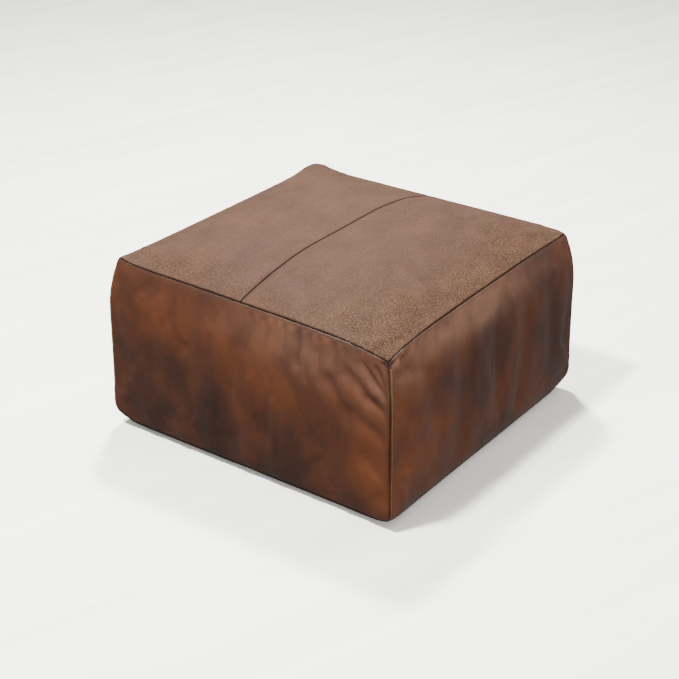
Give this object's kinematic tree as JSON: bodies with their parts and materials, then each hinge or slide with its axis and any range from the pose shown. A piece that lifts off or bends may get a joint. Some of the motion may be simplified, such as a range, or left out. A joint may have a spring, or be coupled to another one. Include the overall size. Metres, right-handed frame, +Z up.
{
  "type": "moroccan leather pouf",
  "caption": "Square low leather floor pouf: panelled leather cover with a crowned two-piece top, zipped base, inner bag and stuffing.",
  "frame": {"origin": "on the floor under the middle of the base, in the plane the pouf rests on", "axes": "+Z up; Y runs along the top's centre seam and the zip, from the front side panel to the back one; +X is the right side panel"},
  "size_m": [0.61, 0.61, 0.342],
  "materials": {
    "top_leather": "matte",
    "side_leather": "satin",
    "base_leather": "matte",
    "seam_thread": "matte",
    "tan_thread": "matte",
    "zip_tape": "matte",
    "zip_brass": "satin",
    "calico": "matte",
    "wadding": "matte",
    "filling": "matte"
  },
  "bodies": {
    "cover": {"top_panel_left": "top_leather", "top_panel_right": "top_leather", "side_panel_front": "side_leather", "side_panel_right": "side_leather", "side_panel_back": "side_leather", "side_panel_left": "side_leather", "bottom_panel_left": "base_leather", "bottom_panel_right": "base_leather", "top_centre_stitching": "seam_thread", "top_edge_stitching": "seam_thread", "corner_stitching": "seam_thread", "bottom_edge_stitching": "seam_thread", "bottom_centre_stitching": "seam_thread", "top_edge_topstitching": "tan_thread", "corner_topstitching": "tan_thread", "zip_stitching_left": "tan_thread", "zip_stitching_right": "tan_thread", "zip_tape_left": "zip_tape", "zip_tape_right": "zip_tape", "zip_teeth_left": "zip_brass", "zip_teeth_right": "zip_brass", "zip_top_stops": "zip_brass", "zip_bottom_stop": "zip_brass", "inner_bag_top": "calico", "inner_bag_boxing": "calico", "inner_bag_bottom": "calico", "wadding_top": "wadding", "wadding_band": "wadding", "wadding_bottom": "wadding", "fill_core": "filling"},
    "slider": {"zip_slider": "zip_brass"},
    "pull": {"zip_pull_tab": "zip_brass"}
  },
  "joints": [
    {"name": "zip_slide", "type": "slide", "parent": "cover", "child": "slider", "axis": [0, -1, 0], "range_m": [0, 0.404]},
    {"name": "pull_hinge", "type": "hinge", "parent": "slider", "child": "pull", "pos_m": [0, 0.202, 0.00625], "axis": [1, 0, 0], "range_deg": [0, 180]}
  ]
}
